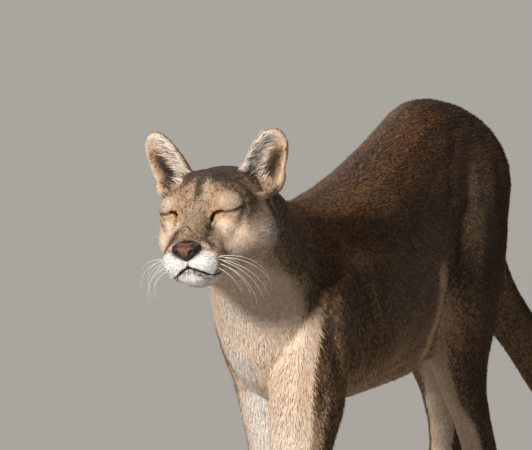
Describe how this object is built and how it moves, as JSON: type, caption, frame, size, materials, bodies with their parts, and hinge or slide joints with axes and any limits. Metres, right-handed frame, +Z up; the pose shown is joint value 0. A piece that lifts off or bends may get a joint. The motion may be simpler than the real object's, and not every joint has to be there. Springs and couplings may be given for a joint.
{
  "type": "cougar",
  "caption": "Life-size still model of a standing cougar in mid stride, head raised, eyes closed, tail hanging, with a short tawny coat.",
  "frame": {"origin": "on the floor, under the middle of the whole animal's box", "axes": "+X the way the trunk points, from tail to nose; +Y to the animal's left; +Z up"},
  "size_m": [1.5318, 0.2194, 0.8048],
  "materials": {
    "coat_back": "short ticked fur",
    "coat_pale": "short pale fur",
    "coat_face": "very short fur",
    "coat_tail": "dense fur",
    "ear": "thin fur",
    "nose_leather": "satin",
    "eye": "gloss"
  },
  "bodies": {
    "root": {"torso": "coat_back", "upper_arm_left": "coat_back", "upper_arm_right": "coat_back", "thigh_left": "coat_back", "thigh_right": "coat_back", "shank_left": "coat_back", "shank_right": "coat_back", "forearm_left": "coat_back", "forearm_right": "coat_back", "neck": "coat_pale", "fore_pastern_left": "coat_pale", "fore_pastern_right": "coat_pale", "metatarsus_left": "coat_pale", "metatarsus_right": "coat_pale", "fore_paw_left": "coat_pale", "fore_paw_right": "coat_pale", "hind_paw_left": "coat_pale", "hind_paw_right": "coat_pale", "head": "coat_face", "tail_root": "coat_tail", "tail_middle": "coat_tail", "tail_end": "coat_tail", "ear_left": "ear", "ear_right": "ear", "nose": "nose_leather", "eye_left": "eye", "eye_right": "eye"}
  },
  "joints": []
}
